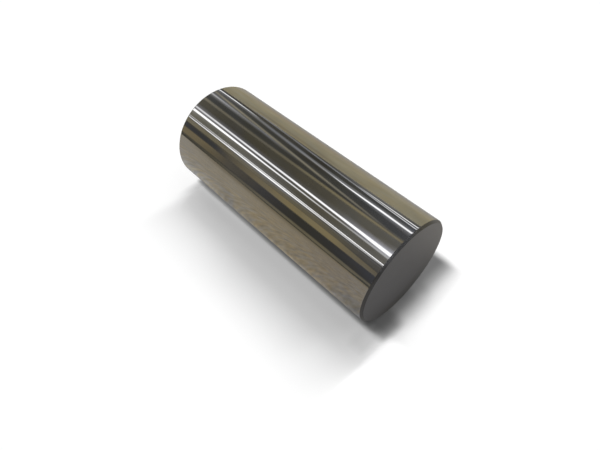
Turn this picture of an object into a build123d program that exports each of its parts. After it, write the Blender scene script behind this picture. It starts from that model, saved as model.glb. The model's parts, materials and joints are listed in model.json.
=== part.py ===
from build123d import *

import os

# A solid piston pin, also called a gudgeon pin or wrist pin: one turned, hardened and ground
# steel bar. It stands on one flat end, with its axis along +Z and the origin at the centre of
# that end. Both ends are finished alike, so either may go in first. Sizes are in millimetres.

# Driving sizes of the finished pin
pin_diameter = 50.0  # ground diameter that runs in the rod's bush and the piston's bosses
pin_length = 120.0  # over both flat ends
chamfer_length = 1.05  # lead-in at each end, measured along the axis
chamfer_depth = 0.8  # the same lead-in, measured in from the ground diameter
shoulder_radius = 0.3  # polished blend from the ground diameter into the lead-in
rim_radius = 0.2  # broken edge between the lead-in and the flat end

pin_radius = pin_diameter / 2
end_radius = pin_radius - chamfer_depth

# Half of the pin's section, from its axis outwards, revolved into one solid
with BuildPart() as piston_pin:
    with BuildSketch(Plane.XZ) as section:
        with BuildLine():
            Polyline(
                (0, 0),
                (end_radius, 0),
                (pin_radius, chamfer_length),
                (pin_radius, pin_length - chamfer_length),
                (end_radius, pin_length),
                (0, pin_length),
                close=True,
            )
        make_face()
        rims = section.vertices().group_by(Axis.X)[1]
        fillet(rims, radius=rim_radius)
        shoulders = section.vertices().group_by(Axis.X)[-1]
        fillet(shoulders, radius=shoulder_radius)
    revolve(axis=Axis.Z)

piston_pin.part.label = "piston_pin"

os.makedirs("parts", exist_ok=True)
export_step(piston_pin.part, "parts/piston_pin.step")
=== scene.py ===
import json
import math

import bpy
from mathutils import Matrix, Vector


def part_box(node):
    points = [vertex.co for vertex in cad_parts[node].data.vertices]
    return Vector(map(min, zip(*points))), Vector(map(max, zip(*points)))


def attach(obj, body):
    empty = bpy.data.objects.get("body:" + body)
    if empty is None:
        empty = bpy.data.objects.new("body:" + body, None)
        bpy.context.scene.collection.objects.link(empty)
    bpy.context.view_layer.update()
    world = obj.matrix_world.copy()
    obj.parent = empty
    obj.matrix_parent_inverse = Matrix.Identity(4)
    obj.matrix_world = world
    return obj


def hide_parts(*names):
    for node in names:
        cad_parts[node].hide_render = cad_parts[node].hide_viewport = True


# A solid steel piston pin, ground to a mirror on its diameter, with dark turned lead-ins and
# matt lapped ends. The pin stands on one end here, with its axis along +Z. The photograph
# shows it lying on its side, so the floor of that view is the plane that touches its +Y side.

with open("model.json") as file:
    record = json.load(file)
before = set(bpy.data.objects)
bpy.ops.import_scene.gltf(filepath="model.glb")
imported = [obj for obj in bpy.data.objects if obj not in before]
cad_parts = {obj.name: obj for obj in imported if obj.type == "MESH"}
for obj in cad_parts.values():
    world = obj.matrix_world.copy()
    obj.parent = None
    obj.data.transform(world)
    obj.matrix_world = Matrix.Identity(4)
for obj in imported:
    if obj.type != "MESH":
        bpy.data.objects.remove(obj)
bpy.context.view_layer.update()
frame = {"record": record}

# Sizes of the pin, from the frame
PIN = "piston_pin"
pin_foot, pin_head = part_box(PIN)
ground_mount = next(m for m in frame["record"]["mounts"] if m["name"] == "ground_diameter")
pin_radius = ground_mount["dims"]["r_mm"] / 1000
pin_length = pin_head.z - pin_foot.z

# The turned ends, in metres
chamfer_length = 0.00105  # lead-in at each end, along the axis
chamfer_depth = 0.0008  # the same lead-in, in from the ground diameter
shoulder_radius = 0.0003  # polished blend from the ground diameter into the lead-in
rim_radius = 0.0002  # broken edge between the lead-in and the flat end

# How finely the pin's mesh is divided
guard_ring = 0.0005  # from an edge to the ring of points that keeps its blend out of the wide faces
steps_around = 384
steps_in_a_blend = 6
weld_distance = 1e-7  # points nearer to each other than this become one
flat_gap = 1e-6  # a face whose middle is nearer to an end's plane than this lies in it

# Where nearly all the values of a noise lie
NOISE_SPAN = (0.3, 0.7)

# The photograph's frame and camera
PHOTO_WIDTH = 600
SENSOR_WIDTH = 36.0
FOCAL_PIXELS = 481.0
camera_place = Vector((0.10388, -0.16014, 0.16919))
camera_aim = Vector((0.0, 0.02266, 0.05977))
photo_up = Vector((0.0, -1.0, 0.0))  # away from the floor

# Where the floor of the photograph's view lies, and how far it reaches
floor_level = pin_radius
floor_reach = 1.5

# The drum of cards and lamps that the polish mirrors
drum_radius = 0.6
drum_sides = 96
drum_foot = -1.4
drum_head = 1.0
layer_gap = 0.003  # between one card and the next in front of it
back_reach = 0.75 * drum_radius  # how far from the pin's axis the strips behind it hang

# The cards of the table top lie just in front of the floor
side_card_gap = 0.0002
front_card_gap = 0.0004

# How far past the pin's two ends the strips and the table run on, as shares of its length, and
# in how many places along it they are hung
low_share = -1.5
high_share = 3.0
strip_places = 25
table_places = 33


def add_object(name, data):
    """A new object in the scene, made of a mesh, a lamp or a camera."""
    item = bpy.data.objects.new(name, data)
    bpy.context.scene.collection.objects.link(item)
    return item


class Tree:
    """A node tree in the making, for a material or for Geometry Nodes."""

    def __init__(self, tree):
        self.tree = tree

    def node(self, kind, inputs=(), **settings):
        """Adds a node. Each input is linked if its value is a socket, and set otherwise."""
        made = self.tree.nodes.new(kind)
        for key, value in settings.items():
            setattr(made, key, value)
        for key, value in dict(inputs).items():
            if isinstance(value, bpy.types.NodeSocket):
                self.tree.links.new(value, made.inputs[key])
            else:
                made.inputs[key].default_value = value
        return made

    def math(self, operation, a, b=0.0):
        return self.node("ShaderNodeMath", {0: a, 1: b}, operation=operation).outputs[0]


class Paint(Tree):
    """The node tree of a new material."""

    def __init__(self, name):
        self.material = bpy.data.materials.new(name)
        self.material.use_nodes = True
        super().__init__(self.material.node_tree)
        self.tree.nodes.clear()
        self.place = self.node("ShaderNodeTexCoord").outputs["Object"]

    def noise(self, grain, detail=2.0):
        """Noise whose grains are about one part in grain of a metre long, along X, Y and Z."""
        where = self.node("ShaderNodeMapping", {"Vector": self.place, "Scale": grain})
        inputs = {"Vector": where.outputs[0], "Scale": 1.0, "Detail": detail}
        return self.node("ShaderNodeTexNoise", inputs).outputs["Fac"]

    def ranged(self, value, before, after, smooth=False):
        """The value, with the range before mapped onto the range after, in a line or a smooth slope."""
        ends = {"From Min": before[0], "From Max": before[1], "To Min": after[0], "To Max": after[1]}
        slope = "SMOOTHSTEP" if smooth else "LINEAR"
        mapped = self.node("ShaderNodeMapRange", {"Value": value, **ends}, interpolation_type=slope)
        return mapped.outputs["Result"]

    def tinted(self, share, first, second):
        """A colour between two, by share."""
        mix = self.node("ShaderNodeMix", {0: share, 6: (*first, 1), 7: (*second, 1)}, data_type="RGBA")
        return mix.outputs[2]

    def relief(self, height, strength, depth):
        """Fine bumps in the surface, depth metres deep."""
        inputs = {"Height": height, "Strength": strength, "Distance": depth}
        return self.node("ShaderNodeBump", inputs).outputs[0]

    def steel(self, colour, roughness, relief, more=()):
        """The finished material of bare steel, with any more inputs that its shader needs."""
        inputs = {"Base Color": colour, "Metallic": 1.0, "Roughness": roughness, "Normal": relief}
        return self.finish(self.node("ShaderNodeBsdfPrincipled", {**inputs, **dict(more)}))

    def finish(self, shader):
        self.node("ShaderNodeOutputMaterial", {"Surface": shader.outputs[0]})
        return self.material


def ground_steel():
    """The ground and polished diameter: rings left by the wheel, slow bands, and hairlines of handling."""
    paint = Paint("ground_steel")
    rings = paint.noise((40, 40, 1600), detail=3.0)
    bands = paint.noise((14, 14, 120), detail=2.0)
    hairs = paint.noise((150, 150, 7000), detail=1.0)
    smears = paint.noise((70, 70, 40), detail=3.0)

    streaks = paint.ranged(rings, NOISE_SPAN, (0.0, 1.0))
    colour = paint.tinted(streaks, (0.55, 0.53, 0.491), (0.57, 0.55, 0.509))
    ground = paint.ranged(rings, NOISE_SPAN, (0.018, 0.036))
    banded = paint.math("MULTIPLY", ground, paint.ranged(bands, NOISE_SPAN, (0.8, 1.25)))
    handled = paint.math("ADD", banded, paint.ranged(smears, (0.55, 0.8), (0.0, 0.02)))
    scratched = paint.math("ADD", handled, paint.ranged(hairs, (0.78, 0.88), (0.0, 0.03)))
    relief = paint.relief(rings, strength=0.2, depth=0.000002)
    tangent = paint.node("ShaderNodeTangent", direction_type="RADIAL", axis="Z").outputs[0]
    round_the_pin = {"Anisotropic": 0.5, "Anisotropic Rotation": 0.25, "Tangent": tangent}
    return paint.steel(colour, scratched, relief, round_the_pin)


def turned_steel():
    """The turned lead-ins, with the fine grooves of the tool. Their dark colour is partly their own and
    partly painted shade for the dim surroundings that they mirror.
    """
    paint = Paint("turned_steel")
    grooves = paint.noise((60, 60, 9000), detail=2.0)
    patches = paint.noise((260, 260, 260), detail=3.0)
    lines = paint.ranged(grooves, NOISE_SPAN, (0.4, 1.0))
    shade = paint.math("MULTIPLY", lines, paint.ranged(patches, NOISE_SPAN, (0.7, 1.0)))
    # Dark colour: partly the lead-ins' own, partly painted shade for the dim surroundings that they mirror
    colour = paint.tinted(shade, (0.105, 0.104, 0.101), (0.185, 0.183, 0.178))
    roughness = paint.ranged(patches, NOISE_SPAN, (0.34, 0.42))
    return paint.steel(colour, roughness, paint.relief(grooves, strength=0.4, depth=0.00002))


def lapped_steel():
    """The matt flat ends, with the even grain of lapping and a slow cloudiness."""
    paint = Paint("lapped_steel")
    grain = paint.noise((2600, 2600, 2600), detail=3.0)
    cloud = paint.noise((55, 55, 55), detail=3.0)
    specks = paint.ranged(grain, NOISE_SPAN, (0.55, 1.0))
    shade = paint.math("MULTIPLY", specks, paint.ranged(cloud, NOISE_SPAN, (0.8, 1.0)))
    tint = paint.ranged(paint.noise((900, 900, 900), detail=3.0), (0.35, 0.65), (0.0, 1.0))
    dark = paint.tinted(tint, (0.254, 0.246, 0.241), (0.246, 0.246, 0.249))
    pale = paint.tinted(tint, (0.336, 0.325, 0.316), (0.324, 0.325, 0.328))
    colour = paint.node("ShaderNodeMix", {0: shade, 6: dark, 7: pale}, data_type="RGBA").outputs[2]
    roughness = paint.ranged(grain, NOISE_SPAN, (0.46, 0.56))
    return paint.steel(colour, roughness, paint.relief(grain, strength=0.35, depth=0.00003))


class Lathe(Tree):
    """A Geometry Nodes tree that turns the pin from its half section, with named inputs for its sizes."""

    def __init__(self, name):
        super().__init__(bpy.data.node_groups.new(name, "GeometryNodeTree"))
        self.tree.interface.new_socket("Geometry", in_out="OUTPUT", socket_type="NodeSocketGeometry")
        self.group_in = self.node("NodeGroupInput")
        self.group_out = self.node("NodeGroupOutput")

    def size(self, name, kind="NodeSocketFloat"):
        """A named input for one of the pin's sizes."""
        self.tree.interface.new_socket(name, in_out="INPUT", socket_type=kind)
        return self.group_in.outputs[name]

    def socket_id(self, name):
        """The identifier of an input, by its name."""
        for item in self.tree.interface.items_tree:
            if item.item_type == "SOCKET" and item.in_out == "INPUT" and item.name == name:
                return item.identifier
        raise KeyError(name)

    def point(self, x, z):
        return self.node("ShaderNodeCombineXYZ", {"X": x, "Z": z}).outputs[0]

    def pick(self, kind, index, values):
        """One of several values, by an index field."""
        switch = self.node("GeometryNodeIndexSwitch", {"Index": index}, data_type=kind)
        while len(switch.index_switch_items) < len(values):
            switch.index_switch_items.new()
        for item, value in enumerate(values, 1):
            if isinstance(value, bpy.types.NodeSocket):
                self.tree.links.new(value, switch.inputs[item])
            else:
                switch.inputs[item].default_value = value
        return switch.outputs[0]


def pin_lathe(ground, turned, lapped):
    """The tree that turns the pin: its half section is rounded at the corners and spun about Z."""
    lathe = Lathe("turn_pin")
    radius = lathe.size("Radius")
    length = lathe.size("Length")
    lead = lathe.size("Chamfer Length")
    depth = lathe.size("Chamfer Depth")
    shoulder = lathe.size("Shoulder Radius")
    rim = lathe.size("Rim Radius")
    guard = lathe.size("Guard Ring")
    around = lathe.size("Steps Around", "NodeSocketInt")
    rounding = lathe.size("Steps In A Blend", "NodeSocketInt")

    end_radius = lathe.math("SUBTRACT", radius, depth)
    guard_radius = lathe.math("SUBTRACT", end_radius, guard)
    guard_foot = lathe.math("ADD", lead, guard)
    middle = lathe.math("MULTIPLY", length, 0.5)

    def from_head(height):
        return lathe.math("SUBTRACT", length, height)

    # Half of the section, from the foot's centre outwards, up the side and in to the head's centre
    corners = [
        (0.0, 0.0, 0.0),
        (guard_radius, 0.0, 0.0),
        (end_radius, 0.0, rim),
        (radius, lead, shoulder),
        (radius, guard_foot, 0.0),
        (radius, middle, 0.0),
        (radius, from_head(guard_foot), 0.0),
        (radius, from_head(lead), shoulder),
        (end_radius, length, rim),
        (guard_radius, length, 0.0),
        (0.0, length, 0.0),
    ]
    index = lathe.node("GeometryNodeInputIndex").outputs[0]
    places = lathe.pick("VECTOR", index, [lathe.point(x, z) for x, z, _ in corners])
    radii = lathe.pick("FLOAT", index, [blend for _, _, blend in corners])
    line = lathe.node("GeometryNodeMeshLine", {"Count": len(corners)})
    placed = lathe.node("GeometryNodeSetPosition", {"Geometry": line.outputs[0], "Position": places})
    section = lathe.node("GeometryNodeMeshToCurve", {"Mesh": placed.outputs[0]})
    rounded = lathe.node(
        "GeometryNodeFilletCurve",
        {"Curve": section.outputs[0], "Count": rounding, "Radius": radii},
        mode="POLY",
    )
    profile = lathe.node("GeometryNodeCurveToMesh", {"Curve": rounded.outputs[0]}).outputs[0]

    # A grid of steps around by points along the section, each moved to its place on the pin
    steps_along = lathe.node(
        "GeometryNodeAttributeDomainSize", {"Geometry": profile}, component="MESH"
    ).outputs["Point Count"]
    columns = lathe.math("ADD", around, 1.0)
    grid = lathe.node("GeometryNodeMeshGrid", {"Vertices X": columns, "Vertices Y": steps_along})
    column = lathe.math("FLOOR", lathe.math("DIVIDE", index, steps_along))
    row = lathe.math("FLOORED_MODULO", index, steps_along)
    on_profile = lathe.node(
        "GeometryNodeSampleIndex",
        {"Geometry": profile, "Value": lathe.node("GeometryNodeInputPosition").outputs[0], "Index": row},
        data_type="FLOAT_VECTOR",
    ).outputs[0]
    split = lathe.node("ShaderNodeSeparateXYZ", {0: on_profile})
    turn = lathe.math("MULTIPLY", lathe.math("DIVIDE", column, around), math.tau)
    turned_place = lathe.node(
        "ShaderNodeCombineXYZ",
        {
            "X": lathe.math("MULTIPLY", split.outputs["X"], lathe.math("COSINE", turn)),
            "Y": lathe.math("MULTIPLY", split.outputs["X"], lathe.math("SINE", turn)),
            "Z": split.outputs["Z"],
        },
    ).outputs[0]
    inputs = {"Geometry": grid.outputs["Mesh"], "Position": turned_place}
    spun = lathe.node("GeometryNodeSetPosition", inputs)
    inputs = {"Geometry": spun.outputs[0], "Distance": weld_distance}
    closed = lathe.node("GeometryNodeMergeByDistance", inputs)
    inputs = {"Geometry": closed.outputs[0], "Shade Smooth": True}
    shaded = lathe.node("GeometryNodeSetShadeSmooth", inputs)

    # Distance of each face's middle from the nearer end, which tells the three finishes apart
    place = lathe.node("GeometryNodeInputPosition").outputs[0]
    height = lathe.node("ShaderNodeSeparateXYZ", {0: place}).outputs["Z"]
    from_end = lathe.math("MINIMUM", height, lathe.math("SUBTRACT", length, height))
    on_lead = lathe.math("LESS_THAN", from_end, lead)
    on_flat = lathe.math("LESS_THAN", from_end, flat_gap)

    whole = lathe.node("GeometryNodeRealizeInstances", {"Geometry": shaded.outputs[0]})
    dressed = lathe.node("GeometryNodeSetMaterial", {"Geometry": whole.outputs[0], "Material": ground})
    dressed = lathe.node(
        "GeometryNodeSetMaterial",
        {"Geometry": dressed.outputs[0], "Selection": on_lead, "Material": turned},
    )
    dressed = lathe.node(
        "GeometryNodeSetMaterial",
        {"Geometry": dressed.outputs[0], "Selection": on_flat, "Material": lapped},
    )
    lathe.tree.links.new(dressed.outputs[0], lathe.group_out.inputs[0])
    return lathe


def turn_pin():
    """The pin's visible mesh, which stands for the CAD solid."""
    ground, turned, lapped = ground_steel(), turned_steel(), lapped_steel()
    lathe = pin_lathe(ground, turned, lapped)
    blank = add_object("pin_blank", bpy.data.meshes.new("pin_blank"))
    turning = blank.modifiers.new("turning", "NODES")
    turning.node_group = lathe.tree
    sizes = {
        "Radius": pin_radius,
        "Length": pin_length,
        "Chamfer Length": chamfer_length,
        "Chamfer Depth": chamfer_depth,
        "Shoulder Radius": shoulder_radius,
        "Rim Radius": rim_radius,
        "Guard Ring": guard_ring,
        "Steps Around": steps_around,
        "Steps In A Blend": steps_in_a_blend,
    }
    for name, value in sizes.items():
        turning[lathe.socket_id(name)] = value
    seen = blank.evaluated_get(bpy.context.evaluated_depsgraph_get())
    mesh = bpy.data.meshes.new_from_object(seen)
    bpy.data.objects.remove(blank)
    mesh.name = "solid_pin"
    return add_object("solid_pin", mesh)


# The floor's own white, the painted glow that keeps its shadows from going black, and the light from all
# round
floor_white = 0.97
painted_floor_glow = 0.05
ambient = 0.01

# Slopes past the floor's rim, for a painted shade or painted glow that has no edge on that side
before_rim = (-1.1 * floor_reach, -floor_reach)
past_rim = (floor_reach, 1.1 * floor_reach)

# Painted shades on the floor close to the pin, which stand in for its shadow: depth, then where each rises
# and falls along X and Z
PAINTED_CONTACT_SHADES = [
    (0.5, (-0.041, -0.033), (0.012, 0.018), (0.1, 0.11), (0.1195, 0.1315)),
    (0.35, (-0.040, -0.032), (-0.017, -0.011), (0.1, 0.11), (0.1195, 0.129)),
    (0.45, (0.0, 0.005), (0.012, 0.018), (0.1, 0.11), (0.1205, 0.1315)),
    (0.5, (0.002, 0.008), (0.0148, 0.0198), (0.1183, 0.1243), (0.1257, 0.1307)),
    (0.13, (0.0165, 0.0185), (0.025, 0.031), (0.115, 0.12), (0.124, 0.1275)),
    (0.4, (0.013, 0.016), (0.012, 0.036), (-0.0035, 0.0005), (0.0005, 0.004)),
    (0.08, (0.024, 0.036), (0.038, 0.059), (0.03, 0.062), (0.1, 0.115)),
    (0.3, (-0.0355, -0.0335), (-0.02, -0.014), (0.1135, 0.1155), (0.1185, 0.123)),
    (0.75, (0.0, 0.001), (0.0165, 0.0187), (-0.004, 0.0), (0.116, 0.121)),
]

# Painted glows, where the floor is made a little lighter: the light added, then as above
PAINTED_GLOWS = [
    (0.09, (0.0145, 0.0172), (0.0170, 0.0190), (-0.004, 0.0), (0.116, 0.121)),
    (0.055, (0.0145, 0.0165), (0.018, 0.0215), (-0.001, 0.004), (0.01, 0.065)),
    (0.2, (-0.041, -0.0385), (-0.038, -0.034), (0.11, 0.115), (0.124, 0.132)),
    (0.22, (0.011, 0.016), past_rim, (0.1268, 0.1298), past_rim),
    (0.06, before_rim, past_rim, (0.130, 0.135), past_rim),
]


def window(paint, value, rise, fall):
    """1 between rise and fall, and 0 outside them, with smooth slopes."""
    risen = paint.ranged(value, rise, (0.0, 1.0), smooth=True)
    fallen = paint.ranged(value, fall, (1.0, 0.0), smooth=True)
    return paint.math("MULTIPLY", risen, fallen)


def soft_patch(paint, where, strength, x_rise, x_fall, z_rise, z_fall):
    """A painted shade or painted glow over the floor: its strength inside, fading out at its edges."""
    across = window(paint, where["X"], x_rise, x_fall)
    along = window(paint, where["Z"], z_rise, z_fall)
    return paint.math("MULTIPLY", paint.math("MULTIPLY", across, along), strength)


def floor_paint():
    """Matt white with a faint painted glow; close to the pin, painted shades stand in for its shadow and
    painted glows lighten a few places.
    """
    paint = Paint("floor_paint")
    where = paint.node("ShaderNodeSeparateXYZ", {0: paint.place}).outputs
    light = 1.0
    # Painted shadow: each shade darkens the floor's white at a fixed place close to the pin
    for row in PAINTED_CONTACT_SHADES:
        shade = soft_patch(paint, where, *row)
        light = paint.math("MULTIPLY", light, paint.math("SUBTRACT", 1.0, shade))
    # Painted glow: emission that lifts the floor's shadows everywhere and lightens a few places more
    painted_glow_level = painted_floor_glow
    for row in PAINTED_GLOWS:
        painted_glow_level = paint.math("ADD", painted_glow_level, soft_patch(paint, where, *row))
    colour = paint.tinted(light, (0.0, 0.0, 0.0), (floor_white,) * 3)
    matt = paint.node("ShaderNodeBsdfDiffuse", {"Color": colour})
    # The painted glow: an emission on the floor that stands in for fill light
    painted_glow = paint.node("ShaderNodeEmission", {"Strength": painted_glow_level})
    seen = paint.node("ShaderNodeAddShader", {0: matt.outputs[0], 1: painted_glow.outputs[0]})
    clear = paint.node("ShaderNodeBsdfTransparent")
    behind = paint.node("ShaderNodeNewGeometry").outputs["Backfacing"]
    either = paint.node("ShaderNodeMixShader", {0: behind, 1: seen.outputs[0], 2: clear.outputs[0]})
    return paint.finish(either)


def lay_floor():
    """The pale floor of the photograph's view, which is clear from behind and isn't mirrored."""
    mesh = bpy.data.meshes.new("floor")
    corners = [(-1, -1), (1, -1), (1, 1), (-1, 1)]
    places = [(x * floor_reach, floor_level, z * floor_reach) for x, z in corners]
    mesh.from_pydata(places, [], [(0, 1, 2, 3)])
    mesh.materials.append(floor_paint())
    floor = add_object("floor", mesh)
    floor.visible_glossy = False


def white_world():
    """White all round for the camera, with a faint light of the same kind for the floor."""
    world = bpy.data.worlds.new("studio")
    bpy.context.scene.world = world
    world.use_nodes = True
    sky = Tree(world.node_tree)
    path = sky.node("ShaderNodeLightPath").outputs
    seen = sky.math("MAXIMUM", path["Is Camera Ray"], path["Is Glossy Ray"])
    seen = sky.math("MAXIMUM", seen, path["Is Transmission Ray"])
    background = world.node_tree.nodes["Background"]
    background.inputs["Color"].default_value = (1, 1, 1, 1)
    world.node_tree.links.new(sky.math("MAXIMUM", seen, ambient), background.inputs["Strength"])


# The soft lamps that light the floor, slightly past white. Each has the light that it gives the floor,
# then, for each metre above the floor, how far its centre leans along X and Z, and half its length
# and width. Last comes its turn in degrees. They hang at lamp_height above the floor.
LAMPS = {
    "long_lamp": (0.329, -0.638, -0.158, 0.427, 0.082, -20.6),
    "side_lamp": (0.414, 0.376, -0.171, 0.085, 0.124, 15.2),
    "window": (0.227, -0.538, -0.939, 0.554, 1.740, -3.4),
}
lamp_height = 6.0
lamp_samples = 9  # places along and across a lamp, to average its falloff


def soft_lamp(name, light, lean_x, lean_z, half_length, half_width, turn):
    """A lamp that faces straight down on the floor. It lights what is matt, and isn't mirrored."""
    spin = math.radians(turn)
    length_way = Vector((math.cos(spin), 0.0, math.sin(spin)))
    width_way = Vector((-math.sin(spin), 0.0, math.cos(spin)))
    centre = Vector((lean_x, -1.0, lean_z))
    falloffs = []
    for along in spaced(-half_length, half_length, lamp_samples):
        for across in spaced(-half_width, half_width, lamp_samples):
            spot = centre + length_way * along + width_way * across
            falloffs.append(1 / spot.length**4)
    falloff = sum(falloffs) / len(falloffs)

    data = bpy.data.lights.new(name, "AREA")
    data.shape = "RECTANGLE"
    data.size = 2 * half_length * lamp_height
    data.size_y = 2 * half_width * lamp_height
    data.energy = light * math.pi**2 * lamp_height**2 / (floor_white * falloff)
    lamp = add_object(name, data)
    turned = Matrix((length_way, photo_up.cross(length_way), photo_up)).transposed()
    below = Vector((0.0, floor_level, pin_length / 2))
    lamp.matrix_world = Matrix.Translation(below + centre * lamp_height) @ turned.to_4x4()
    lamp.visible_glossy = False


def card_material(name, grain, depth, hue_grain=None, hue_depth=0.5):
    """Cards and lamps: a glow of the card's own tone, softly mottled, and clear where its cover is 0.

    The glow ends at a matt surface, so no card lights the floor by way of the polish. With a grain
    for its hue, a card's colour drifts a little as well.
    """
    paint = Paint(name)
    colour = paint.node("ShaderNodeAttribute", attribute_name="tone").outputs["Vector"]
    cover = paint.node("ShaderNodeAttribute", attribute_name="cover").outputs["Fac"]
    mottle = paint.ranged(paint.noise(grain, detail=4.0), NOISE_SPAN, (1 - depth, 1 + depth))
    off_matt = paint.math("LESS_THAN", paint.node("ShaderNodeLightPath").outputs["Diffuse Depth"], 0.5)
    strength = paint.math("MULTIPLY", mottle, off_matt)
    if hue_grain:
        wander = paint.noise(hue_grain, detail=4.0)
        drift = paint.ranged(wander, (0.35, 0.65), (0.5 - hue_depth, 0.5 + hue_depth))
        hue = paint.tinted(drift, WARM, COOL)
        colour = paint.node("ShaderNodeVectorMath", {0: colour, 1: hue}, operation="MULTIPLY").outputs[0]
    glow = paint.node("ShaderNodeEmission", {"Color": colour, "Strength": strength})
    clear = paint.node("ShaderNodeBsdfTransparent")
    either = paint.node("ShaderNodeMixShader", {0: cover, 1: clear.outputs[0], 2: glow.outputs[0]})
    material = paint.finish(either)
    material.cycles.emission_sampling = "NONE"
    return material


def reflected_only(item):
    """Keeps a card out of the camera's view and off the floor: only the polish sees it."""
    item.visible_camera = False
    item.visible_diffuse = False
    item.visible_shadow = False
    item.visible_transmission = False
    item.visible_volume_scatter = False


def card_mesh(name, places, tones, covers, faces, material):
    """A card of flat faces with a tone and a cover at each point."""
    mesh = bpy.data.meshes.new(name)
    mesh.from_pydata(places, [], faces)
    tone = mesh.attributes.new("tone", "FLOAT_VECTOR", "POINT")
    for spot, value in zip(tone.data, tones):
        spot.vector = value
    cover = mesh.attributes.new("cover", "FLOAT", "POINT")
    cover.data.foreach_set("value", covers)
    mesh.materials.append(material)
    reflected_only(add_object(name, mesh))


def grid_faces(rows, columns):
    """The faces between the points of a grid that is stored row by row."""
    faces = []
    for row in range(rows - 1):
        for column in range(columns - 1):
            corner = row * columns + column
            faces.append((corner, corner + 1, corner + 1 + columns, corner + columns))
    return faces


def mixed(first, second, share):
    share = min(max(share, 0.0), 1.0)
    return [a + (b - a) * share for a, b in zip(first, second)]


def smooth(low, high, value):
    """0 below low and 1 above high, with a smooth slope between them."""
    share = min(max((value - low) / (high - low), 0.0), 1.0)
    return share * share * (3 - 2 * share)


def spaced(first, last, count):
    return [first + (last - first) * n / (count - 1) for n in range(count)]


def sight(angle, share):
    """One spot of the pin, and the way in which the camera's line of sight leaves it, mirrored.

    angle is in degrees round the pin from the side that faces the camera, and share runs from 0
    at the pin's foot, the far end of the photograph's view, to 1 at its head.
    """
    turn = math.atan2(camera_place.y, camera_place.x) + math.radians(angle)
    outward = Vector((math.cos(turn), math.sin(turn), 0.0))
    spot = outward * pin_radius + Vector((0.0, 0.0, pin_foot.z + share * pin_length))
    return spot, (spot - camera_place).normalized().reflect(outward)


def on_drum(angle, share, reach):
    """The place on a drum of radius reach that the camera sees mirrored at one spot of the pin."""
    spot, ray = sight(angle, share)
    along = ray.xy.dot(ray.xy)
    lean = spot.xy.dot(ray.xy)
    gap = spot.xy.dot(spot.xy) - reach**2
    return spot + ray * ((math.sqrt(lean**2 - along * gap) - lean) / along)


def on_table(angle, share, level):
    """The place on the table top that the camera sees mirrored at one spot of the pin."""
    spot, ray = sight(angle, share)
    return spot + ray * ((level - spot.y) / ray.y)


def on_route(route, share):
    """Centre, width and cover of a strip at one share of the pin's length."""
    if share <= route[0][0]:
        return route[0][1:]
    for before, after in zip(route, route[1:]):
        if share <= after[0]:
            part = (share - before[0]) / (after[0] - before[0])
            return mixed(before[1:], after[1:], part)
    return route[-1][1:]


def soft_profile(width, soft):
    """Places across a strip from -1 to 1, each with its cover: soft is the share of it that fades out."""
    solid = 1 - soft
    steps = math.ceil(width * solid / 2) + 1
    inside = [(offset, 1) for offset in spaced(-solid, solid, steps + 1)]
    return [(-1, 0), (-1 + soft / 2, 0.5), *inside, (1 - soft / 2, 0.5), (1, 0)]


def hang_strip(name, tone, soft, route, layer, material):
    """A card or lamp on the drum, hung where the pin mirrors it to the camera.

    route lists, from the pin's far end to its near end, the share of its length, the strip's centre
    and width in degrees round the pin, and its cover. Layer 1 is the one next to the drum's wall.
    """
    shares = sorted({low_share, *spaced(0.0, 1.0, strip_places), high_share, *[stop[0] for stop in route]})
    profile = soft_profile(route[0][2], soft)
    reach = drum_radius - layer * layer_gap
    places, covers = [], []
    for share in shares:
        centre, width, cover = on_route(route, share)
        for offset, strength in profile:
            places.append(on_drum(centre + offset * width / 2, share, reach))
            covers.append(cover * strength)
    faces = grid_faces(len(shares), len(profile))
    card_mesh(name, places, [tone] * len(places), covers, faces, material)


def hang_back_strip(name, tone, soft, heading, width, material):
    """An upright card or lamp inside the drum, from its foot to its head, at a heading in degrees."""
    profile = soft_profile(width, soft)
    places, covers = [], []
    for height in (drum_foot, drum_head):
        for offset, cover in profile:
            turn = math.radians(heading + offset * width / 2)
            places.append((back_reach * math.cos(turn), back_reach * math.sin(turn), height))
            covers.append(cover)
    card_mesh(name, places, [tone] * len(places), covers, grid_faces(2, len(profile)), material)


def hang_drum(tone, lid_tone, material):
    """The dim wall right round the pin, with a lid at each end."""
    places, faces = [], []
    for height in (drum_foot, drum_head):
        for n in range(drum_sides):
            turn = math.tau * n / drum_sides
            places.append((drum_radius * math.cos(turn), drum_radius * math.sin(turn), height))
    for n in range(drum_sides):
        after = (n + 1) % drum_sides
        faces.append((n, after, after + drum_sides, n + drum_sides))
    covers = [1.0] * len(places)
    card_mesh("drum", places, [tone] * len(places), covers, faces, material)
    lids = [list(range(drum_sides)), list(range(drum_sides, 2 * drum_sides))]
    card_mesh("drum_lids", places, [lid_tone] * len(places), covers, lids, material)


# Tones of the cards, as plain light levels
TAN = (0.366, 0.323, 0.244)
DIM_TAN = (0.245, 0.217, 0.162)
FAR_TAN = (0.383, 0.354, 0.296)
NEAR_TAN = (0.312, 0.281, 0.234)
END_TAN = (0.312, 0.292, 0.262)
PATCH_GREY = (0.235, 0.228, 0.214)
OLIVE_TAN = (0.385, 0.360, 0.262)
SIDE_TAN = (0.410, 0.363, 0.270)
GREEN_TAN = (0.435, 0.405, 0.315)
WALL_LIGHT = (0.45, 0.41, 0.285)
DIM_SIDE = (0.375, 0.362, 0.335)
EDGE_SHADE = (0.06, 0.058, 0.054)
FOOT_TAN = (0.405, 0.385, 0.345)
FAR_SIDE = (0.43, 0.42, 0.385)
EDGE_SIDE = (0.21, 0.208, 0.205)
FRONT_GREY = (0.29, 0.288, 0.286)
FRONT_PALE = (0.60, 0.585, 0.555)
FRONT_SHADE = (0.10, 0.10, 0.102)
LID_GREY = (0.29, 0.288, 0.286)
OLIVE_BROWN = (0.097, 0.092, 0.072)
GREY_OLIVE = (0.215, 0.212, 0.180)
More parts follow.
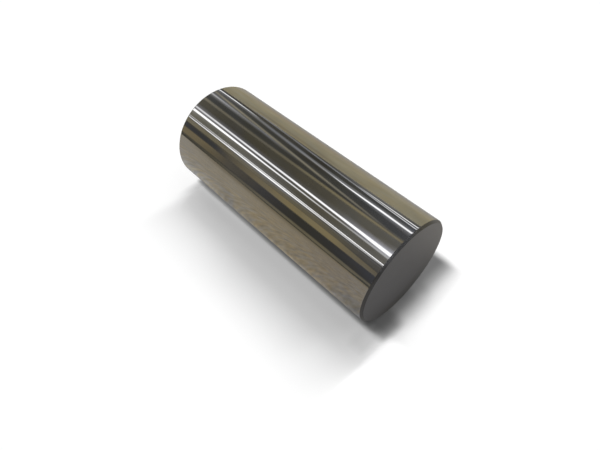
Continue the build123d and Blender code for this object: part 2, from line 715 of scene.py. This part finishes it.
OLIVE = (0.258, 0.236, 0.166)
BLACK = (0.080, 0.082, 0.077)
EDGE_BLACK = (0.062, 0.063, 0.057)
NIGHT = (0.055, 0.054, 0.048)
BLUE_BLACK = (0.060, 0.062, 0.066)
GREY = (0.30, 0.315, 0.345)
YELLOW = (0.325, 0.275, 0.155)
BROWN = (0.245, 0.210, 0.135)
LINE = (0.345, 0.330, 0.272)
PALE_YELLOW = (0.315, 0.280, 0.178)
VEIL = (0.30, 0.33, 0.40)
BLUE_VEIL = (0.12, 0.18, 0.45)
LAMP = (2.5, 2.58, 2.8)
GLOW = (2.4, 2.6, 3.5)

# The hue of the cards drifts a little between these two
WARM = (1.055, 1.0, 0.90)
COOL = (0.96, 1.0, 1.12)

# How the table's tone changes along its far side: the next tone, and where it begins and is reached
FAR_SIDE_TONES = [
    (FAR_TAN, 0.0, 0.25),
    (TAN, 0.3, 0.62),
    (NEAR_TAN, 0.58, 0.9),
    (END_TAN, 0.86, 1.0),
]

# Soft patches over it: tone, the most of it, then its slopes in degrees round the pin, and along it
FAR_SIDE_PATCHES = [
    (DIM_TAN, 0.9, [(33.5, 28.8)], [(0.0, 0.3), (1.0, 0.6)]),
    (FAR_SIDE, 1.0, [(50.0, 64.0)], [(0.34, 0.1)]),
    (PATCH_GREY, 0.55, [(48.0, 60.0)], [(0.22, 0.3), (0.41, 0.33)]),
    (PATCH_GREY, 1.0, [(46.0, 60.0)], [(0.84, 0.95)]),
    (DIM_TAN, 0.3, [(48.0, 60.0), (78.0, 68.0)], [(0.36, 0.48), (0.78, 0.72)]),
    (BROWN, 0.8, [(30.4, 28.6)], [(0.4, 0.55)]),
    (DIM_TAN, 0.3, [(62.0, 72.0)], [(0.7, 0.5), (0.1, 0.2)]),
    (EDGE_SIDE, 1.0, [(70.0, 80.0)], [(0.34, 0.1)]),
]


def lamp_side_tone(angle, share):
    """The table's tone on the lamps' side: greener at both ends, greyer and then dark by the outline."""
    tone = mixed(SIDE_TAN, GREEN_TAN, smooth(0.5, 0.8, share) + smooth(0.25, 0.0, share))
    tone = mixed(tone, DIM_SIDE, smooth(65.0, 72.0, -angle))
    return mixed(tone, EDGE_SHADE, smooth(77.5, 81.5, -angle))


def far_side_tone(angle, share):
    """The table's tone on the far side: dimmer towards the pin's head, with a few soft patches."""
    tone = FOOT_TAN
    for next_tone, first, last in FAR_SIDE_TONES:
        tone = mixed(tone, next_tone, smooth(first, last, share))
    for patch_tone, most, around, along in FAR_SIDE_PATCHES:
        slopes = [smooth(*ends, angle) for ends in around] + [smooth(*ends, share) for ends in along]
        tone = mixed(tone, patch_tone, most * math.prod(slopes))
    return tone


def lay_table(material):
    """The table top as the polish shows it on each side, open under the pin for the views from behind."""
    level = floor_level - side_card_gap
    shares = [low_share, *spaced(-0.3, 1.3, table_places), high_share]
    sides = {
        "table_lamp_side": (lamp_side_tone, [-60.8, -61.5, -62.5, -64, *spaced(-66.0, -88.0, 12)]),
        "table_far_side": (
            far_side_tone,
            [28.3, 28.6, 29, 29.5, 30, 31, 32.5, 35, *spaced(38.0, 88.0, 21)],
        ),
    }
    for name, (tone_at, angles) in sides.items():
        spots = [(angle, share) for share in shares for angle in angles]
        places = [on_table(angle, share, level) for angle, share in spots]
        tones = [tone_at(angle, share) for angle, share in spots]
        faces = grid_faces(len(shares), len(angles))
        card_mesh(name, places, tones, [1.0] * len(places), faces, material)


def front_tone(x, z):
    """The tone of the table in front of the flat end: grey, paler at the sides, dark in the pin's shadow."""
    from_end = z - pin_head.z
    across = smooth(-0.042, -0.03, x) * smooth(0.026, 0.012, x)
    shade = across * smooth(0.016, 0.0, from_end)
    tone = mixed(FRONT_GREY, FRONT_PALE, smooth(-0.02, -0.065, x) + 0.3 * smooth(0.02, 0.06, x))
    tone = mixed(tone, FRONT_SHADE, 0.12 * smooth(0.011, 0.018, from_end))
    return mixed(tone, FRONT_SHADE, shade)


def lay_front_table(material):
    """The table in front of the pin's head, which only the matt end shows."""
    level = floor_level - front_card_gap
    columns = [-0.6, -0.2, -0.1, *spaced(-0.06, 0.04, 21), 0.08, 0.2, 0.6]
    rows = [*spaced(0.1202, 0.145, 12), 0.17, 0.25, 0.5, 0.99]
    places = [(x, level, z) for z in rows for x in columns]
    tones = [front_tone(x, z) for x, _, z in places]
    card_mesh("front_card", places, tones, [1.0] * len(places), grid_faces(len(rows), len(columns)), material)


# The cards and lamps round the pin, from the back layer to the front one. Each has a tone, the
# share of its width that fades out, and its route: share of the pin's length, centre, width, cover.
STRIPS = {
    "back_wall": (
        OLIVE_TAN,
        0.03,
        [(0.0, -72.65, 61.1, 1), (0.28, -72.45, 61.5, 1), (0.42, -73.2, 60.0, 1), (0.58, -72.75, 60.9, 1),
         (1.0, -72.95, 60.5, 1)],
    ),
    "wall_light": (WALL_LIGHT, 0.8, [(0.0, -63.0, 22, 0.8), (1.0, -63.0, 22, 0.8)]),
    "wall_shade": (
        DIM_TAN,
        1.0,
        [(0.1, -46.5, 6, 0), (0.3, -46.5, 6, 0.6), (0.55, -46.5, 6, 0.5), (0.68, -46.5, 6, 0)],
    ),
    "wall_edge": (
        GREY,
        0.5,
        [(0.45, -42.0, 4, 0), (0.58, -41.8, 4, 0.1), (0.72, -41.6, 4.4, 0.32),
         (0.87, -41.8, 4.6, 0.5), (0.93, -42.1, 4.8, 0.28), (1.0, -42.2, 5, 0.08)],
    ),
    "dark_bay": (
        BLACK,
        0.13,
        [(0.0, -30.9, 23.5, 1), (0.3, -30.45, 22.5, 1), (0.55, -30.2, 22.0, 1), (1.0, -30.15, 21.9, 1)],
    ),
    "bay_deep": (
        NIGHT,
        0.3,
        [(0.44, -33.5, 13, 0), (0.54, -33.5, 13, 0.9), (0.6, -33.5, 13, 0.8), (0.68, -33.5, 13, 0)],
    ),
    "far_haze": (
        GREY,
        0.7,
        [(0.0, -33.5, 20, 0.4), (0.1, -33.5, 20, 0.17), (0.17, -33.5, 20, 0.05), (0.26, -33.5, 20, 0)],
    ),
    "bay_edge": (
        GREY,
        0.8,
        [(0.16, -43.2, 2.0, 0), (0.26, -43.0, 2.4, 1), (0.42, -42.05, 3.1, 0.95), (0.57, -40.35, 2.4, 1),
         (0.7, -39.5, 2.3, 1), (1.0, -38.0, 3.6, 0.9)],
    ),
    "bay_glow": (
        GREY,
        0.9,
        [(0.12, -38.3, 5.0, 0.8), (0.2, -37.9, 4.6, 0.82), (0.32, -36.1, 4.9, 1), (0.44, -34.75, 4.7, 1),
         (0.56, -33.7, 4.2, 1), (0.7, -32.8, 5.0, 1), (0.85, -31.9, 7.6, 1), (1.0, -31.4, 9.6, 0.88)],
    ),
    "bay_lamp": (
        LAMP,
        0.8,
        [(0.46, -33.9, 1.6, 0), (0.56, -33.15, 1.6, 0.045), (0.64, -32.5, 1.3, 0.12),
         (0.72, -31.85, 1.45, 0.68), (0.8, -31.75, 2.1, 0.84), (0.87, -31.85, 2.6, 0.84),
         (1.0, -31.6, 2.4, 0.76)],
    ),
    "far_lamp": (LAMP, 0.8, [(0.0, -39.2, 1.4, 0.74), (0.12, -39.1, 1.45, 0.74), (0.26, -38.5, 1.6, 0)]),
    "near_line": (LAMP, 0.8, [(0.74, -40.0, 1.4, 0), (0.82, -40.0, 1.4, 0.42), (1.0, -40.15, 1.2, 0.84)]),
    "near_pair": (
        LAMP,
        0.8,
        [(0.48, -41.0, 1.6, 0), (0.6, -40.1, 1.5, 0.035), (0.74, -39.1, 1.4, 0.06), (0.82, -38.35, 1.3, 0.25),
         (1.0, -37.6, 1.1, 0.56)],
    ),
    "far_glow": (
        GREY,
        0.9,
        [(0.0, -28.5, 5.6, 1), (0.14, -28.0, 5.7, 1), (0.32, -27.35, 4.7, 0.9), (0.44, -26.0, 4.4, 0.5),
         (0.54, -25.0, 4.0, 0)],
    ),
    "far_spark": (LAMP, 0.9, [(0.0, -29.2, 2.8, 0.25), (0.1, -28.8, 2.6, 0.08), (0.2, -28.2, 2.6, 0)]),
    "line_shade": (
        NIGHT,
        0.5,
        [(0.1, -22.5, 4, 0), (0.25, -22.5, 4.4, 0.4), (0.6, -21.4, 3.6, 0.45), (0.75, -21.2, 2.8, 0.45),
         (0.88, -21.0, 2.0, 0)],
    ),
    "crossing_line": (
        LINE,
        0.9,
        [(0.0, -33.8, 4.0, 1), (0.3, -29.3, 3.7, 1), (0.6, -24.8, 3.3, 1), (0.8, -22.6, 2.8, 0.75),
         (0.93, -21.2, 2.2, 0.2)],
    ),
    "ceiling": (
        GREY_OLIVE,
        0.3,
        [(0.0, -12.5, 15, 0.16), (0.2, -12.5, 15, 0.02), (0.5, -12.5, 15, 0.05), (0.68, -12.5, 15, 0.11),
         (0.8, -12.5, 15, 0.43), (1.0, -12.5, 15, 0.54)],
    ),
    "far_line": (
        LINE,
        0.8,
        [(0.0, -19.2, 4.8, 0.9), (0.12, -18.8, 4.2, 0.52), (0.3, -18.2, 3.6, 0.36), (0.42, -18.3, 3.6, 0.36),
         (0.58, -18.6, 3.6, 0)],
    ),
    "tan_line": (
        PALE_YELLOW,
        0.8,
        [(0.38, -18.2, 3.6, 0), (0.5, -18.4, 3.6, 0.4), (0.6, -18.7, 3.6, 0.74), (0.8, -18.9, 3.8, 1),
         (1.0, -19.5, 3.4, 0.85)],
    ),
    "grey_gap": (
        GREY_OLIVE,
        0.15,
        [(0.0, 1.2, 8.4, 1), (0.3, 1.2, 8.4, 0.8), (0.5, 1.2, 8.4, 0.55), (0.68, 1.2, 8.4, 0.18),
         (0.8, 1.2, 8.4, 0.45), (1.0, 1.2, 8.4, 0.8)],
    ),
    "glow_one": (
        GLOW,
        1.0,
        [(0.0, -6.4, 9, 0.085), (0.3, -6.0, 9, 0.035), (0.5, -6.0, 8, 0.022), (0.78, -6.2, 9, 0.022),
         (0.87, -5.5, 10, 0.11), (0.93, -5.5, 9.4, 0.18), (1.0, -5.5, 9, 0.18)],
    ),
    "wide_glare": (
        LAMP,
        1.0,
        [(0.0, -2.1, 9.5, 0.075), (0.2, -2.6, 9, 0.05), (0.36, -3.0, 8, 0.035), (0.46, -3.0, 8, 0.01),
         (0.8, -3.0, 6, 0.014), (0.88, -5.0, 10, 0.014), (0.95, -6.0, 13, 0.05), (1.0, -6.3, 14, 0.1)],
    ),
    "lamp_one": (
        LAMP,
        0.75,
        [(0.0, -6.2, 2.55, 0.42), (0.2, -6.0, 2.4, 0.54), (0.45, -5.55, 2.3, 0.67), (0.58, -5.4, 2.35, 0.78),
         (0.75, -5.12, 2.3, 0.8), (0.88, -5.05, 3.1, 0.95), (0.94, -4.88, 3.7, 1), (1.0, -4.85, 4.0, 1)],
    ),
    "lamp_two": (
        LAMP,
        0.75,
        [(0.0, -2.35, 3.3, 1), (0.3, -2.15, 2.35, 0.88), (0.43, -1.98, 1.85, 0.78), (0.58, -1.86, 1.55, 0.57),
         (0.72, -1.7, 1.5, 0.32), (0.82, -1.8, 1.7, 0.2), (0.92, -1.85, 2.3, 0.19),
         (1.0, -1.85, 2.7, 0.16)],
    ),
    "lamp_three": (
        LAMP,
        0.6,
        [(0.0, 5.02, 1.1, 0.24), (0.2, 5.05, 1.1, 0.28), (0.35, 5.03, 1.15, 0.39), (0.58, 5.05, 1.15, 0.48),
         (0.72, 5.05, 1.1, 0.46), (0.88, 4.98, 1.1, 0.66), (1.0, 4.95, 1.1, 0.74)],
    ),
    "three_gap": (
        LAMP,
        0.6,
        [(0.0, 5.7, 1.6, 0.03), (0.3, 5.7, 1.7, 0.13), (0.5, 5.7, 1.7, 0.21), (0.72, 5.7, 1.7, 0.15),
         (0.88, 5.8, 1.8, 0.2), (1.0, 5.7, 1.8, 0.14)],
    ),
    "lamp_four": (
        LAMP,
        0.6,
        [(0.0, 6.8, 1.5, 0.48), (0.2, 6.7, 1.45, 0.55), (0.32, 6.62, 1.5, 0.72), (0.44, 6.6, 1.6, 0.84),
         (0.56, 6.5, 1.5, 0.77), (0.72, 6.33, 1.15, 0.45), (0.88, 6.3, 1.1, 0.2), (1.0, 6.1, 1.0, 0.03)],
    ),
    "three_glow": (
        GREY,
        0.8,
        [(0.26, 3.4, 2.0, 0), (0.42, 3.4, 2.0, 0.34), (0.58, 3.3, 1.8, 0.24), (0.72, 3.2, 1.6, 0.06),
         (1.0, 3.4, 2.0, 0.2)],
    ),
    "olive_band": (
        OLIVE,
        0.3,
        [(0.0, 10.0, 4.6, 1), (0.2, 9.8, 4.6, 0.8), (0.5, 9.8, 4.6, 0.76), (0.8, 9.8, 4.6, 0.42),
         (0.92, 9.7, 4.4, 0.1)],
    ),
    "four_glow": (
        GREY,
        0.8,
        [(0.24, 8.4, 2.4, 0), (0.42, 8.3, 2.6, 0.66), (0.52, 8.2, 2.6, 0.7), (0.72, 8.0, 2.0, 0.2),
         (1.0, 7.8, 1.8, 0.2)],
    ),
    "far_dark": (BLUE_BLACK, 0.5, [(0.0, 15.3, 5.6, 1), (0.22, 15.3, 5.6, 1), (0.36, 15.4, 4.0, 0)]),
    "yellow_band": (
        YELLOW,
        0.3,
        [(0.2, 14.6, 6.2, 0), (0.4, 14.4, 5.9, 0.52), (0.6, 14.5, 5.9, 0.88), (0.82, 14.4, 5.8, 0.88),
         (0.93, 14.9, 4.6, 0.46), (1.0, 15.1, 4.2, 0.34)],
    ),
    "brown_band": (
        BROWN,
        0.3,
        [(0.0, 21.4, 7.8, 1), (0.1, 21.3, 7.8, 1), (0.2, 21.2, 7.8, 0.78), (0.32, 21.2, 7.8, 0.42),
         (0.45, 21.2, 7.8, 0.18), (0.55, 21.2, 7.8, 0)],
    ),
    "near_dark": (
        NIGHT,
        0.2,
        [(0.12, 21.5, 8.0, 0), (0.27, 21.5, 8.0, 0.27), (0.42, 21.5, 8.2, 0.52), (0.56, 21.6, 8.4, 0.96),
         (0.68, 21.6, 8.5, 1), (0.84, 21.2, 8.8, 1), (1.0, 20.9, 8.8, 1)],
    ),
    "edge_line": (
        OLIVE,
        0.6,
        [(0.1, 27.0, 3.0, 0), (0.4, 26.8, 3.8, 0.48), (0.75, 26.4, 4.0, 0.68), (1.0, 26.4, 4.2, 0.55)],
    ),
    "edge_dark": (
        EDGE_BLACK,
        0.8,
        [(0.0, 26.7, 2.4, 0.5), (0.3, 27.8, 2.0, 0), (0.5, 28.2, 1.9, 0.75), (0.7, 28.3, 1.9, 0.75),
         (0.9, 28.2, 1.8, 0.55), (0.96, 27.6, 2.4, 0.9)],
    ),
    "veil": (
        VEIL,
        0.1,
        [(0.0, -7.0, 74, 0.05), (0.14, -7.0, 74, 0.015), (0.22, -7.0, 74, 0), (0.7, -7.0, 74, 0),
         (0.82, -7.0, 74, 0.01), (1.0, -7.0, 74, 0.035)],
    ),
    "blue_veil": (
        BLUE_VEIL,
        0.3,
        [(0.15, -7.0, 76, 0), (0.3, 10.0, 42, 0.04), (0.48, 10.0, 42, 0.05), (0.62, 10.0, 42, 0),
         (0.72, -7.0, 76, 0), (0.88, -7.0, 76, 0.03), (1.0, -7.0, 76, 0.055)],
    ),
}

# Cards and lamps inside the drum behind the pin, for the views from there. Each has a tone, the share
# of its width that fades out, its heading in degrees from +X towards +Y, and its width in degrees.
BACK_STRIPS = {
    "back_lamp_left": (LAMP, 0.5, 141.0, 5.0),
    "back_card_left": (TAN, 0.2, 121.0, 26.0),
    "back_lamp": (LAMP, 0.5, 92.0, 4.0),
    "back_line": (LAMP, 0.6, 83.0, 1.6),
    "back_shade": (NIGHT, 0.3, 70.0, 16.0),
    "back_card_right": (OLIVE_TAN, 0.2, 46.0, 24.0),
    "back_lamp_right": (LAMP, 0.5, 27.0, 5.0),
}


def build_cards():
    """All that the polish mirrors: the drum, the table, and the strips on the drum and behind the pin."""
    card = card_material("card", grain=(5, 5, 15), depth=0.1, hue_grain=(9, 9, 22), hue_depth=0.25)
    lamp = card_material("lamp", grain=(5, 5, 15), depth=0.06)
    table = card_material("table_top", grain=(85, 85, 360), depth=0.19, hue_grain=(75, 75, 260))
    hang_drum(OLIVE_BROWN, LID_GREY, card)
    lay_table(table)
    lay_front_table(card)
    for layer, (name, (tone, soft, route)) in enumerate(STRIPS.items(), 1):
        hang_strip(name, tone, soft, route, layer, lamp if tone == LAMP else card)
    for name, (tone, soft, heading, width) in BACK_STRIPS.items():
        hang_back_strip(name, tone, soft, heading, width, lamp if tone == LAMP else card)


def place_camera():
    """The camera of the photograph, with the frame's -Y upwards in the picture."""
    data = bpy.data.cameras.new("camera")
    data.sensor_width = SENSOR_WIDTH
    data.lens = FOCAL_PIXELS / PHOTO_WIDTH * SENSOR_WIDTH
    data.clip_start = 0.01
    camera = add_object("camera", data)
    back = (camera_place - camera_aim).normalized()
    right = photo_up.cross(back).normalized()
    up = back.cross(right)
    turned = Matrix((right, up, back)).transposed()
    camera.matrix_world = Matrix.Translation(camera_place) @ turned.to_4x4()
    bpy.context.scene.camera = camera


pin = turn_pin()
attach(pin, "root")
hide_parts(PIN)

lay_floor()
white_world()
build_cards()
for name, sizes in LAMPS.items():
    soft_lamp(name, *sizes)
place_camera()

bpy.context.scene.view_settings.view_transform = "Standard"
